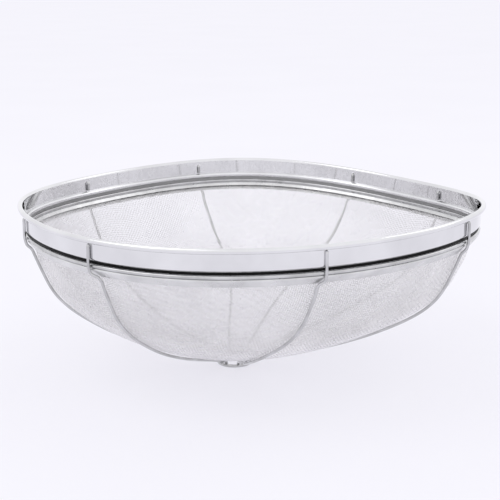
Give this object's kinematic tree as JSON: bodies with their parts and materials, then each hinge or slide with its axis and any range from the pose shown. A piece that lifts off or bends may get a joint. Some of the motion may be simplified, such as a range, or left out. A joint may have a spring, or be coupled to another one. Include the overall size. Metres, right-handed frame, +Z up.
{
  "type": "basket strainer",
  "caption": "Round basket strainer: a shallow woven stainless wire bowl hung on wire ribs from a rolled rim band, with a small foot ring.",
  "frame": {"origin": "on the table, straight under the centre of the rim", "axes": "+Z up through the rim's centre; the bowl's bottom and its foot ring lie a little to -X of it"},
  "size_m": [0.45, 0.45, 0.1735],
  "materials": {
    "band_sheet": "polished, nearly a mirror",
    "hem_sheet": "satin",
    "dark_seam": "dull, darkened by weld heat",
    "round_wire": "bright drawn wire",
    "wire_cloth": "bright plain weave"
  },
  "bodies": {
    "root": {"rim_band": "band_sheet", "rim_core_wire": "round_wire", "basket_hoop": "round_wire", "seam_strip": "dark_seam", "hem_strip": "hem_sheet", "mesh_bowl": "wire_cloth", "rib_1": "round_wire", "rib_2": "round_wire", "rib_3": "round_wire", "rib_4": "round_wire", "rib_5": "round_wire", "rib_6": "round_wire", "rib_7": "round_wire", "rib_8": "round_wire", "base_ring": "round_wire"}
  },
  "joints": []
}
